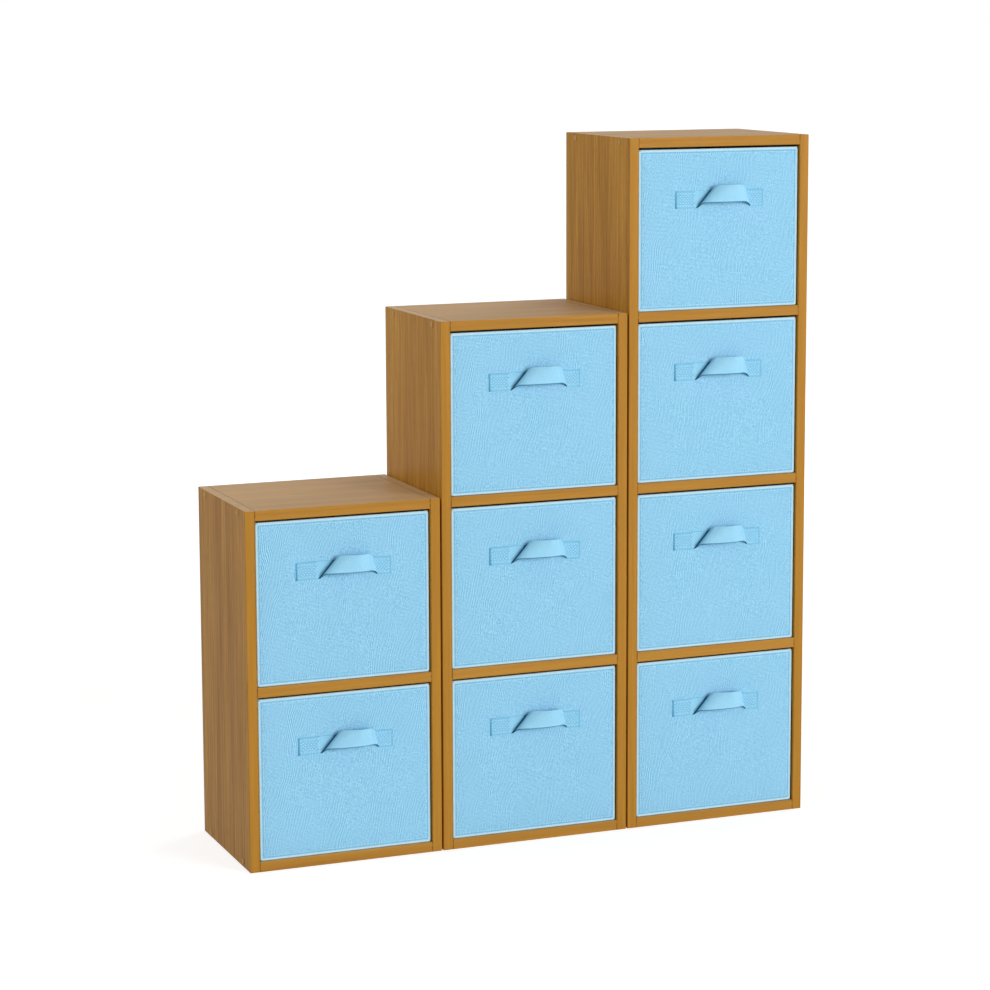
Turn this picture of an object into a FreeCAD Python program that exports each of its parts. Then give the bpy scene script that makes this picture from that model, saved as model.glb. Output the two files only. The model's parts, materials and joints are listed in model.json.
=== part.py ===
"""Stepped cube storage unit: three chipboard towers of two, three and four cells with a pull-out
fabric box in every cell. Millimetres, +X to the right, +Y to the back, +Z up. The origin is on the
floor, under the centre of the middle tower."""

import FreeCAD
import Part
import math
import os

# Towers
BOARD = 15.0  # thickness of every chipboard panel
TOWER_WIDTH = 300.0
TOWER_DEPTH = 240.0
TOWER_GAP = 3.0  # free space between two towers that stand side by side
CELL_PITCH = 261.25  # from one shelf to the next
TOWER_CELLS = {"short": 2, "middle": 3, "tall": 4}  # in order from the left
EDGE_RADIUS = 0.6  # of the edge-banded board edges

# Back panels, each in a groove around its tower
BACK_THICKNESS = 3.0
GROOVE_WIDTH = 3.2
GROOVE_DEPTH = 6.0
GROOVE_FROM_REAR = 8.0
BACK_INSERTION = 5.5  # how far a back panel reaches into its groove
SHELF_TO_BACK = 0.5

# Screws through the sides into the top and bottom panels
SCREW_FROM_EDGE = 37.0  # from the front and the rear edge of a side
SCREW_LENGTH = 45.0
SCREW_RADIUS = 2.1
SCREW_TIP = 3.0
SCREW_TIP_RADIUS = 0.7
HEAD_RADIUS = 4.1
HEAD_HEIGHT = 2.6
SOCKET_RADIUS = 1.6  # to the corners of the hexagonal socket
SOCKET_DEPTH = 2.0
BORE_CLEARANCE = 0.05
BORE_RUNOUT = 1.0  # a blind bore is this much deeper than what it holds

# Cover caps over the screw heads
CAP_RADIUS = 4.8
CAP_HEIGHT = 0.9
CAP_DOME = 0.35
STEM_RADIUS = 1.25
STEM_LENGTH = 1.6

# Wooden dowels between the sides and the horizontal panels
DOWEL_RADIUS = 4.0
DOWEL_LENGTH = 30.0
DOWEL_IN_SIDE = 10.0
DOWEL_CHAMFER = 1.0
SHELF_DOWEL_Y = (-83.0, 70.0)
END_PANEL_DOWEL_Y = (0.0,)

# Fabric boxes
BOX_SIDE_CLEARANCE = 1.5
BOX_TOP_CLEARANCE = 3.75
BOX_FLOOR_CLEARANCE = 0.3
BOX_RECESS = 4.0  # of a box's front behind the front edges of its tower
BOX_DEPTH = 222.0
BOX_CORNER_RADIUS = 4.0
FABRIC = 1.0  # thickness of the cover's outer fabric and of its lining
POCKET = 2.6  # between the two, where the stiffening boards stand
RIM = 1.5  # fabric that closes the pocket at the top
LINING_LIFT = 0.6  # the lining's lower edge above the floor of the cover
SIDE_BOARD = 2.4
SIDE_BOARD_PLAY = 0.1
SIDE_BOARD_END_PLAY = 0.5  # between the ends of the long boards and the short boards
BASE_BOARD = 2.6
BASE_BOARD_PLAY = 0.5

# Strap handles
STRAP_WIDTH = 27.0
STRAP_THICKNESS = 1.6
STRAP_LENGTH = 147.0  # from one sewn end to the other, as it lies on the box
STRAP_END = 38.5  # lies flat on the front of the box
STRAP_BELOW_RIM = 76.0  # centre line of the sewn ends below the rim of the box
LOOP_REACH = 27.0  # of the loop in front of the box
LOOP_CROWN = 28.0  # length of the loop's straight middle
LOOP_RISE = 8.5  # of the loop's middle above the sewn ends
SHOULDER_REACH = 17.0  # where a leg of the loop bends over towards its middle
SHOULDER_SPAN = 62.0  # from one such bend to the other
SHOULDER_RISE = 7.0

FRONT = -TOWER_DEPTH / 2
REAR = TOWER_DEPTH / 2
GROOVE_FRONT = REAR - GROOVE_FROM_REAR - GROOVE_WIDTH
CELL_WIDTH = TOWER_WIDTH - 2 * BOARD
CELL_HEIGHT = CELL_PITCH - BOARD
SCREW_ROWS = (FRONT + SCREW_FROM_EDGE, REAR - SCREW_FROM_EDGE)
BOX_WIDTH = CELL_WIDTH - 2 * BOX_SIDE_CLEARANCE
BOX_HEIGHT = CELL_HEIGHT - BOX_TOP_CLEARANCE
BOX_FRONT = FRONT + BOX_RECESS
WALL = 2 * FABRIC + POCKET

ALONG_X = FreeCAD.Vector(1, 0, 0)
OVERSHOOT = 1.0  # of a cut beyond the surface that it opens
SHORTEST_EDGE = 1.0  # shorter runs don't count as lying along an axis
TOUCHING = 0.1


def tower_height(cells):
    return cells * CELL_PITCH + BOARD


def tower_centre(index):
    """X of the middle of a tower, counted from the left."""
    return (index - 1) * (TOWER_WIDTH + TOWER_GAP)


def block(x, y, z):
    """A box from three (low, high) pairs."""
    corner = FreeCAD.Vector(x[0], y[0], z[0])
    return Part.makeBox(x[1] - x[0], y[1] - y[0], z[1] - z[0], corner)


def rounded(solid, radius, wanted):
    """The solid with the straight edges that `wanted(start, end)` picks rounded."""
    edges = [e for e in solid.Edges if wanted(e.Vertexes[0].Point, e.Vertexes[-1].Point)]
    return solid.makeFillet(radius, edges)


def runs_along(axis):
    """A test for edges along one axis, 0 for X, 1 for Y and 2 for Z."""
    return lambda a, b: abs(a[axis] - b[axis]) > SHORTEST_EDGE


def rod(radius, start, length, direction):
    return Part.makeCylinder(radius, length, start, direction)


# ---- Fasteners. Each one lies along X; `inward` is +1 or -1, from a side towards its panel. ----


def screw(outer_x, y, z, inward):
    axis = ALONG_X * inward
    start = FreeCAD.Vector(outer_x, y, z)
    head = Part.makeCone(HEAD_RADIUS, SCREW_RADIUS, HEAD_HEIGHT, start, axis)
    shank = rod(SCREW_RADIUS, start, SCREW_LENGTH - SCREW_TIP, axis)
    tip_start = start + axis * (SCREW_LENGTH - SCREW_TIP)
    tip = Part.makeCone(SCREW_RADIUS, SCREW_TIP_RADIUS, SCREW_TIP, tip_start, axis)
    hexagon = Part.makePolygon(
        [
            FreeCAD.Vector(
                outer_x,
                y + SOCKET_RADIUS * math.cos(math.radians(60 * i)),
                z + SOCKET_RADIUS * math.sin(math.radians(60 * i)),
            )
            for i in range(7)
        ]
    )
    socket = Part.Face(hexagon).extrude(axis * SOCKET_DEPTH)
    return head.fuse([shank, tip]).cut(socket).removeSplitter()


def screw_hole(outer_x, y, z, inward):
    """The space of a screw, through the side and into the end of its panel."""
    axis = ALONG_X * inward
    start = FreeCAD.Vector(outer_x, y, z)
    head = Part.makeCone(
        HEAD_RADIUS + BORE_CLEARANCE, SCREW_RADIUS + BORE_CLEARANCE, HEAD_HEIGHT, start, axis
    )
    return head.fuse(rod(SCREW_RADIUS + BORE_CLEARANCE, start, SCREW_LENGTH + BORE_RUNOUT, axis))


def cap(outer_x, y, z, inward):
    """A domed cover cap with a stem in the screw's socket."""
    axis = ALONG_X * inward
    start = FreeCAD.Vector(outer_x, y, z)
    disc = rod(CAP_RADIUS, start - axis * CAP_HEIGHT, CAP_HEIGHT, axis)
    rim = [e for e in disc.Edges if abs(e.CenterOfMass.x - (outer_x - inward * CAP_HEIGHT)) < TOUCHING]
    disc = disc.makeChamfer(CAP_DOME, rim)
    return disc.fuse(rod(STEM_RADIUS, start, STEM_LENGTH, axis)).removeSplitter()


def dowel(joint_x, y, z, inward):
    """A dowel across the joint between a side's inner face, at joint_x, and a panel's end."""
    axis = ALONG_X * inward
    start = FreeCAD.Vector(joint_x, y, z) - axis * DOWEL_IN_SIDE
    pin = rod(DOWEL_RADIUS, start, DOWEL_LENGTH, axis)
    ends = [e for e in pin.Edges if e.Curve.TypeId == "Part::GeomCircle"]
    return pin.makeChamfer(DOWEL_CHAMFER, ends)


def dowel_hole(joint_x, y, z, inward):
    axis = ALONG_X * inward
    start = FreeCAD.Vector(joint_x, y, z) - axis * (DOWEL_IN_SIDE + BORE_RUNOUT)
    return rod(DOWEL_RADIUS + BORE_CLEARANCE, start, DOWEL_LENGTH + 2 * BORE_RUNOUT, axis)


def panel_levels(cells):
    """Underside height of the bottom, of each shelf and of the top of a tower."""
    return [level * CELL_PITCH for level in range(cells + 1)]


def fastener_places(centre, cells):
    """Where a tower's screws and dowels go: two lists of (outer x, joint x, y, z, inward)."""
    screws, dowels = [], []
    for inward in (1, -1):
        outer_x = centre - inward * TOWER_WIDTH / 2
        joint_x = outer_x + inward * BOARD
        for level, underside in enumerate(panel_levels(cells)):
            z = underside + BOARD / 2
            is_end_panel = level in (0, cells)
            if is_end_panel:
                screws += [(outer_x, joint_x, y, z, inward) for y in SCREW_ROWS]
            rows = END_PANEL_DOWEL_Y if is_end_panel else SHELF_DOWEL_Y
            dowels += [(outer_x, joint_x, y, z, inward) for y in rows]
    return screws, dowels


# ---- Tower panels ----


def drilled(panel, bores):
    """The panel without the bores that reach it."""
    reaching = [b for b in bores if b.BoundBox.intersect(panel.BoundBox)]
    return panel.cut(reaching) if reaching else panel


def side(centre, cells, inward):
    """A side panel with the groove for the back panel on its inner face."""
    outer_x = centre - inward * TOWER_WIDTH / 2
    inner_x = outer_x + inward * BOARD
    height = tower_height(cells)
    panel = block(sorted((outer_x, inner_x)), (FRONT, REAR), (0, height))
    panel = rounded(panel, EDGE_RADIUS, lambda a, b: True)
    groove = block(
        sorted((inner_x - inward * GROOVE_DEPTH, inner_x + inward * OVERSHOOT)),
        (GROOVE_FRONT, GROOVE_FRONT + GROOVE_WIDTH),
        (BOARD - GROOVE_DEPTH, height - BOARD + GROOVE_DEPTH),
    )
    return panel.cut(groove)


def level_panel(centre, underside, rear):
    """A horizontal panel between the sides, its front and rear edges rounded."""
    half = CELL_WIDTH / 2
    panel = block((centre - half, centre + half), (FRONT, rear), (underside, underside + BOARD))
    return rounded(panel, EDGE_RADIUS, runs_along(0))


def end_panel(centre, underside, groove_side):
    """The top or bottom panel; groove_side is +1 for a groove in its upper face, -1 for its lower."""
    panel = level_panel(centre, underside, REAR)
    half = CELL_WIDTH / 2
    face_z = underside + (BOARD if groove_side > 0 else 0)
    groove = block(
        (centre - half - OVERSHOOT, centre + half + OVERSHOOT),
        (GROOVE_FRONT, GROOVE_FRONT + GROOVE_WIDTH),
        sorted((face_z - groove_side * GROOVE_DEPTH, face_z + groove_side * OVERSHOOT)),
    )
    return panel.cut(groove)


def back_panel(centre, cells):
    half = CELL_WIDTH / 2 + BACK_INSERTION
    play = (GROOVE_WIDTH - BACK_THICKNESS) / 2
    y = GROOVE_FRONT + play
    z = (BOARD - BACK_INSERTION, tower_height(cells) - BOARD + BACK_INSERTION)
    return block((centre - half, centre + half), (y, y + BACK_THICKNESS), z)


def tower_panels(centre, cells, bores):
    """Every board of one tower, by name."""
    levels = panel_levels(cells)
    panels = {
        "left_side": side(centre, cells, 1),
        "right_side": side(centre, cells, -1),
        "bottom": end_panel(centre, levels[0], 1),
        "top": end_panel(centre, levels[-1], -1),
    }
    for number, underside in enumerate(levels[1:-1], start=1):
        panels[f"shelf_{number}"] = level_panel(centre, underside, GROOVE_FRONT - SHELF_TO_BACK)
    panels = {name: drilled(panel, bores) for name, panel in panels.items()}
    panels["back"] = back_panel(centre, cells)
    return panels


# ---- Fabric boxes. Each is built with its floor at z = 0 and centred on x = 0. ----


def box_prism(inset, z_low, z_high):
    """The plan of a fabric box, moved in by `inset`, between two heights."""
    half = BOX_WIDTH / 2 - inset
    y = (BOX_FRONT + inset, BOX_FRONT + BOX_DEPTH - inset)
    prism = block((-half, half), y, (z_low, z_high))
    return rounded(prism, max(BOX_CORNER_RADIUS - inset, FABRIC / 2), runs_along(2))


def cover():
    """Outer fabric and lining, joined at the rim, with the boards' pocket between them."""
    above = BOX_HEIGHT + OVERSHOOT
    lining_outside = box_prism(FABRIC + POCKET, FABRIC + LINING_LIFT, above)
    pocket = box_prism(FABRIC, FABRIC, BOX_HEIGHT - RIM).cut(lining_outside)
    inside = box_prism(WALL, FABRIC, above)
    return box_prism(0, 0, BOX_HEIGHT).cut([pocket, inside])


def side_boards():
    """The four stiffening boards that stand in the cover's pocket."""
    skin = FABRIC + SIDE_BOARD_PLAY
    half_x = BOX_WIDTH / 2 - skin
    front, rear = BOX_FRONT + skin, BOX_FRONT + BOX_DEPTH - skin
    z = (FABRIC, BOX_HEIGHT - RIM - SIDE_BOARD_PLAY)
    long_half = half_x - SIDE_BOARD - SIDE_BOARD_END_PLAY
    y = (BOX_FRONT + BOX_CORNER_RADIUS, BOX_FRONT + BOX_DEPTH - BOX_CORNER_RADIUS)
    return Part.makeCompound(
        [
            block((-long_half, long_half), (front, front + SIDE_BOARD), z),
            block((-long_half, long_half), (rear - SIDE_BOARD, rear), z),
            block((-half_x, -half_x + SIDE_BOARD), y, z),
            block((half_x - SIDE_BOARD, half_x), y, z),
        ]
    )


def base_board():
    inset = WALL + BASE_BOARD_PLAY
    half = BOX_WIDTH / 2 - inset
    y = (BOX_FRONT + inset, BOX_FRONT + BOX_DEPTH - inset)
    return block((-half, half), y, (FABRIC, FABRIC + BASE_BOARD))


def loop_profile():
    """Outer side of the handle's right half in plan: (x, reach in front of the box, rise)."""
    return [
        (STRAP_LENGTH / 2, STRAP_THICKNESS, 0.0),
        (STRAP_LENGTH / 2 - STRAP_END, STRAP_THICKNESS, 0.0),
        (SHOULDER_SPAN / 2, SHOULDER_REACH, SHOULDER_RISE),
        (LOOP_CROWN / 2, LOOP_REACH, LOOP_RISE),
    ]


def inward_offset(before, here, after):
    """From a point of the profile's outer side to the inner side, one strap thickness away."""
    turn_in = math.atan2(here[1] - before[1], before[0] - here[0])
    turn_out = math.atan2(after[1] - here[1], here[0] - after[0])
    middle = (turn_in + turn_out) / 2
    length = STRAP_THICKNESS / math.cos((turn_out - turn_in) / 2)
    return -length * math.sin(middle), -length * math.cos(middle)


def strap_section(outer, inner, rise):
    """One upright cross-section of the strap between two (x, reach) points."""
    z = BOX_HEIGHT - STRAP_BELOW_RIM - STRAP_WIDTH / 2 + rise
    corners = [(outer, z), (inner, z), (inner, z + STRAP_WIDTH), (outer, z + STRAP_WIDTH)]
    points = [FreeCAD.Vector(x, BOX_FRONT - reach, height) for (x, reach), height in corners]
    return Part.makePolygon(points + points[:1])


def handle():
    """A strap with two flat ends sewn to the box and a loop that stands out between them."""
    half = loop_profile()
    end, crown = half[0], half[-1]
    around = [(end[0] + OVERSHOOT, end[1], 0.0)] + half + [(-crown[0], crown[1], 0.0)]
    right, left = [], []
    for before, here, after in zip(around, half, around[2:]):
        dx, d_reach = inward_offset(before, here, after)
        outer, inner = (here[0], here[1]), (here[0] + dx, here[1] + d_reach)
        right.append(strap_section(outer, inner, here[2]))
        left.append(strap_section((-outer[0], outer[1]), (-inner[0], inner[1]), here[2]))
    return Part.makeLoft(left + right[::-1], True, True)


def main():
    nodes = {"cabinet_screws": [], "screw_caps": [], "dowels": []}
    box_parts = {
        "cover": cover(),
        "side_boards": side_boards(),
        "base_board": base_board(),
        "handle": handle(),
    }
    for index, (tower, cells) in enumerate(TOWER_CELLS.items()):
        centre = tower_centre(index)
        screws, dowels = fastener_places(centre, cells)
        bores = [screw_hole(outer, y, z, inward) for outer, _, y, z, inward in screws]
        bores += [dowel_hole(joint, y, z, inward) for _, joint, y, z, inward in dowels]
        for name, panel in tower_panels(centre, cells, bores).items():
            nodes[f"{tower}_{name}"] = [panel]
        nodes["cabinet_screws"] += [screw(outer, y, z, inward) for outer, _, y, z, inward in screws]
        nodes["screw_caps"] += [cap(outer, y, z, inward) for outer, _, y, z, inward in screws]
        nodes["dowels"] += [dowel(joint, y, z, inward) for _, joint, y, z, inward in dowels]
        for cell in range(cells):
            floor = BOARD + cell * CELL_PITCH + BOX_FLOOR_CLEARANCE
            for part, solid in box_parts.items():
                placed = solid.copy()
                placed.translate(FreeCAD.Vector(centre, 0, floor))
                nodes[f"{tower}_box_{cell + 1}_{part}"] = [placed]

    os.makedirs("parts", exist_ok=True)
    for name, solids in nodes.items():
        shape = solids[0] if len(solids) == 1 else Part.makeCompound(solids)
        if not shape.isValid():
            raise RuntimeError(f"{name} is not a valid shape")
        shape.exportStep(os.path.join("parts", f"{name}.step"))
    print(len(nodes), "nodes written")


main()
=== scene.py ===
"""Looks of the stepped cube storage unit: laminated towers and nine fabric boxes with strap handles.
Lengths are in metres, or in millimetres where a value is multiplied by MM."""

import json
import math
import random

import bmesh
import bpy
import numpy as np
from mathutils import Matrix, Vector, noise

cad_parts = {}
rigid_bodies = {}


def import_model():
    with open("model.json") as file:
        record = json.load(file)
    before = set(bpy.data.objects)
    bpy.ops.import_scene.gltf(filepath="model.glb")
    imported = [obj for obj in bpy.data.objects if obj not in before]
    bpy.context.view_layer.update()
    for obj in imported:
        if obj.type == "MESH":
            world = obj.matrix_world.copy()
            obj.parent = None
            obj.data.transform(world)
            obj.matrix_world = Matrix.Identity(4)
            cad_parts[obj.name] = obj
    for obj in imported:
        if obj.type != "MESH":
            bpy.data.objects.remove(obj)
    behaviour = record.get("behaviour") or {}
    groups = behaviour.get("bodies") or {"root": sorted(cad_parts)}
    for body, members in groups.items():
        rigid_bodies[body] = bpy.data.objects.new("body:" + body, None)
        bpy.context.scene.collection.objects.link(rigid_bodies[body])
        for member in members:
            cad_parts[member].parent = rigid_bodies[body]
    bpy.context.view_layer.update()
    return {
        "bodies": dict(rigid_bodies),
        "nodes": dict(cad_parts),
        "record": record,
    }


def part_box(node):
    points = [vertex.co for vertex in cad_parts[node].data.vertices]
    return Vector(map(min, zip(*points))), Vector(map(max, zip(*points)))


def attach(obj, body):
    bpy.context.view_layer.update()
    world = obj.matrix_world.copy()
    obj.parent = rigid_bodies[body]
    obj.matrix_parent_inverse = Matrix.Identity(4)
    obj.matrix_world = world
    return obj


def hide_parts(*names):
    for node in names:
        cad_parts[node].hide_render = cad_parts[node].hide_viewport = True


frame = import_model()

MM = 0.001
SAME_PLACE = 0.0001 * MM  # points nearer than this are one point
SHARP_FROM = 50.0  # degrees between two faces

# Camera
CAMERA_PLACE = (-1.6269, -4.0164, 1.2501)
CAMERA_YAW = -21.875
CAMERA_PITCH = 8.463  # below the horizon
CAMERA_ROLL = 0.205
CAMERA_LENS = 104.14
CAMERA_SHIFT = -0.06
CAMERA_REACH = 50.0

# Disc lights: name, place, what it points at, diameter, power
LIGHTS = (
    ("key", (4.0, -6.9, 2.0), (0.0, 0.0, 0.55), 3.4, 448.0),
    ("fill", (-2.6, -2.4, 1.6), (0.0, 0.0, 0.5), 2.0, 9.0),
    ("overhead", (-1.4, 0.1, 2.0), (-0.3, 0.0, 0.5), 1.2, 10.0),
    ("rear", (4.2, 2.8, 2.2), (0.0, 0.0, 0.5), 2.4, 80.0),
)
SKY_SEEN = 1.0
SKY_LIGHTING = 0.30  # how much of it lights matt surfaces

# Floor
FLOOR_REACH = 30.0  # from the middle to its edges
FLOOR_GLOW = (0.70, 0.88)  # near the object and far from it
FLOOR_GLOW_FROM = (1.2, 4.0)  # where it starts to rise and stops
FLOOR_GLOW_LIGHTING = 0.05  # how much of it lights matt surfaces

# Towers: the middle one stands round x = 0
TOWER_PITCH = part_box("middle_left_side")[0].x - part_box("short_left_side")[0].x
JOINT_FROM_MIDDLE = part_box("middle_right_side")[0].x  # the inner faces of a tower's sides
JOINT_WIDTH = (0.4 * MM, 1.2 * MM)  # from its middle to where it starts to fade, and to clean wood
TOWER_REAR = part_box("middle_left_side")[1].y
DARK_REAR = (3.2 * MM, 1.2 * MM)  # before the rear: where it starts to darken, and where it's darkest
DARK_REAR_RAGGED = 0.7 * MM

# Wood and board colours, as linear light
WOOD_PALE = (0.610, 0.300, 0.042)
WOOD_DEEP = (0.325, 0.134, 0.013)
WOOD_FLECK = (0.220, 0.085, 0.018)
# painted sheen on the tops
PAINTED_TOP_SHEEN = (0.600, 0.460, 0.300)
BANDING_PALE = (0.485, 0.232, 0.033)
BANDING_DEEP = (0.325, 0.136, 0.017)
# darker colour along the joints between sides and boards
JOINT_DARK = (0.115, 0.028, 0.010)
# darker colour along the rear edges
REAR_EDGE_DARK = (0.085, 0.055, 0.025)
HARDBOARD_DARK = (0.255, 0.140, 0.066)
HARDBOARD_LIGHT = (0.310, 0.178, 0.088)
DARK_FIBRE = (0.150, 0.075, 0.032)
LIGHT_FIBRE = (0.420, 0.270, 0.150)
PRESSED_DARK = (0.330, 0.270, 0.190)
PRESSED_LIGHT = (0.420, 0.350, 0.260)
DOWEL_LIGHT = (0.680, 0.480, 0.270)
DOWEL_DARK = (0.520, 0.330, 0.160)

# Fittings and floor
CAP_DARK = (0.460, 0.250, 0.075)
CAP_LIGHT = (0.540, 0.310, 0.105)
ZINC_DARK = (0.580, 0.580, 0.560)
ZINC_LIGHT = (0.720, 0.710, 0.660)
FLOOR_DARK = (0.470, 0.470, 0.470)
FLOOR_LIGHT = (0.500, 0.500, 0.500)
WHITE = (1.0, 1.0, 1.0)

# Cloth colours
CLOTH_LIGHT = (0.405, 0.750, 0.935)
CLOTH_DARK = (0.165, 0.460, 0.715)
CLOTH_PATCH = (0.330, 0.600, 0.870)
LINING_LIGHT = (0.400, 0.700, 0.890)
LINING_DARK = (0.260, 0.540, 0.760)
BINDING_LIGHT = (0.640, 0.850, 0.940)
BINDING_DARK = (0.460, 0.720, 0.870)
STRAP_LIGHT = (0.410, 0.770, 0.960)
STRAP_DARK = (0.280, 0.630, 0.880)
THREAD_LIGHT = (0.560, 0.840, 0.960)
THREAD_DARK = (0.360, 0.680, 0.880)
PAINTED_HIGHLIGHT_BLUE = (0.660, 0.860, 0.940)  # painted highlight over the rounded bound edges of a panel
PAINTED_SHADE_BLUE = (0.115, 0.430, 0.680)  # painted shade in furrows and on the strap
PAINTED_CREASE_SHADE_BLUE = (0.004, 0.100, 0.165)  # painted shade in a deep crease
CLOTH_PITCH = 2.3 * MM  # of the embossed grid
LINING_PITCH = 3.1 * MM
TWILL_PITCH = 1.6 * MM
CLOTH_SHINE = {"Specular_IOR_Level": 0.2, "Sheen_Weight": 0.08, "Sheen_Roughness": 0.5}

# Fabric cover, in millimetres
COVER_WALL = 4.6  # outer cloth, board and lining together
COVER_CORNER = 4.0
LEAST_CORNER = 0.4  # where the inset leaves no more
CORNER_STEPS = 4
HEM = 7.0  # from an edge of a panel to its topstitching
HEM_GROOVE = 0.35
HEM_GROOVE_WIDTH = 0.9
NEAR_EDGE = (4.7, 5.6, 6.3, 7.0, 7.8, 9.0, 12.0, 18.0, 27.0)  # where mesh lines lie beside a panel's edge
PANEL_STEP = 13.0  # between mesh lines further in
FRONT_BULGE = 1.1
SIDE_BULGE = 0.5
BULGE_REACH = 70.0  # from the edge to where a panel stands out fully
SLACK = 0.35  # height of the soft waves in a panel
SLACK_SCALE = 17.0  # per metre
SLACK_PER_SEED = 3.7  # how far apart the waves of two boxes are taken from
CALM_EDGE = 20.0  # from the edge to where the waves have their full height
CALM_LEAST = 0.15  # their height at the edge, as a share
SEAM = 4.6  # from an edge of a panel to the furrow beside its bound seam
SEAM_DEPTH = 0.45
SEAM_WIDTH = 0.7
SEAM_PALE = 0.7  # painted highlight: how pale the cloth over a bound seam is
SEAM_PALE_TO = SEAM - 0.4
SEAM_PALE_FADE = 0.5
SEAM_DARK = 0.22  # painted shade: how dark the furrow beside the seam is
SEAM_DARK_MIDDLE = SEAM + 0.2
SEAM_DARK_WIDTH = 0.8
RIM_FOLLOWS = 0.25  # how much of the outside's bulge and waves the rim has
LINING_FOLLOWS = -0.25

# The cover's other rings, from the middle of its base outward, over the rim and down inside
UNDERSIDE_RINGS = ((90.0, 0.1), (40.0, 0.1), (8.0, 0.05), (2.0, 0.0), (0.6, 0.6))  # inset, height
BESIDE_BASE = (1.6, 2.8)  # height
BESIDE_RIM = (2.8, 1.4)  # drop from the rim
RIM_RINGS = ((0.25, 0.5), (1.2, 0.0), (COVER_WALL - 1.2, 0.0), (COVER_WALL - 0.25, 0.5))  # inset, drop
LINING_DROPS = (1.4, 6.0, 7.0, 8.0, 14.0, 30.0, 60.0, 100.0, 150.0, 200.0, 230.0, 238.0)
LINING_FLOOR_RINGS = ((COVER_WALL + 0.5, 1.1), (12.0, 0.9), (40.0, 0.85), (90.0, 0.85))  # inset, height

# Bound seams, in millimetres
TUBE_SIDES = 8
BINDING_RADIUS = 1.6
BINDING_INSET = 1.5
BINDING_ENDS = (2.2, 2.4)  # above the base and below the rim
BINDING_WOBBLE = 0.07
BINDING_STEPS = 40
RIM_BINDING_RADIUS = 1.45
RIM_BINDING_DROP = 1.35
RING_INSET = 0.9  # of the bound seams round the base and the rim
RING_WOBBLE = 0.1

# Base insert, in millimetres
INSERT_CORNER = 3.0
INSERT_CORNER_STEPS = 4
INSERT_RINGS = (  # inset from its edge, height
    (100.0, 0.0), (6.0, 0.0), (0.9, 0.0), (0.0, 0.9), (0.0, 1.8), (0.9, 2.6),
    (3.0, 2.75), (6.0, 2.6), (10.0, 2.7), (40.0, 2.75), (100.0, 2.8),
)

# Thread, in millimetres
FRONTWARD = (0.0, -1.0, 0.0)
THREAD_RADIUS = 0.38
STITCH_LENGTH = 3.3
STITCH_GAP = 1.1
STITCH_WANDER = 0.12
STITCH_SIDES = 6
LINE_POINTS = 41  # along the front panel's stitched lines
# Along half a stitch from its middle, and the thread's thickness there, as shares
STITCH_OUTLINE = ((-1.0, 0.35), (-0.55, 0.95), (0.0, 1.1), (0.55, 0.95), (1.0, 0.35))

# Strap handle, in millimetres
STRAP_WIDTH = 27.0
STRAP_HALF = 73.5  # from its middle to an end
STRAP_THICKNESS = 1.5
STRAP_POINTS = 150  # along it
HEM_SHARE = 2.6 / STRAP_WIDTH  # of a hem along a long edge, in the width
# Beside a long edge: how far from it, as a share of the width, and how thick as a share of the thickest
STRAP_EDGE = (
    (0.012, 0.62), (0.035, 0.95), (0.6 * HEM_SHARE, 0.95), (HEM_SHARE, 1.0), (1.25 * HEM_SHARE, 0.72),
)
STRAP_BODY = 0.74  # the same between the hems
BETWEEN_HEMS = (0.22, 0.36, 0.5, 0.64, 0.78)
LOOP_RISE = 8.5
LOOP_REACH = (20.5, 23.5)  # in front of the box, at the strap's lower and upper edge
LEFT_CREASE = (-38.6, -14.8)  # its x at the strap's lower and upper edge
CREASE_LEAN = (LEFT_CREASE[1] - LEFT_CREASE[0]) / STRAP_WIDTH
RIGHT_FOOT = (49.0, 42.0)  # where the strap comes back to the box, at its lower and upper edge
SEWN = (41.0, 70.5)  # the sewn rectangle at each end, from the strap's middle
SEWN_ACROSS = (0.13, 0.87)  # and across the strap, as shares of its width
SEWN_POINTS = 9  # along each sewn line
LATTICE = 4.8  # between the diagonals, along the strap
DIAGONALS = range(-2, 5)  # counted from the rectangle's inner line
CLEAR_OF_BOX = 0.15

# Painted shade on parts of the strap: how dark, from 0 to 1, and where, in millimetres
FLAT_WITHIN = 3.0  # of the box
RISER_WITHIN = 2.0  # of the crease's line
RISER_REACH = (1.6, 7.6)  # from the box: where the dark riser starts and ends
RISER_FADE = 2.5
FOOT_DARK = 0.16
SEWN_DARK = 0.17
LEFT_END = (0.6, 0.75, 0.40)  # its width, and how dark at the lower and upper edge
RIGHT_END = (0.5, 0.3)
LOWER_EDGE_DARK = (0.15, 0.90)  # on the box and in the loop
BESIDE_LOWER_EDGE_DARK = (0.0, 0.42)
UPPER_EDGE_DARK = (0.35, 0.10)
NOTCH_WITHIN = 2.6  # of the strap's right foot
INSIDE_DARK = 0.45


# ---- Meshes ----


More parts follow.
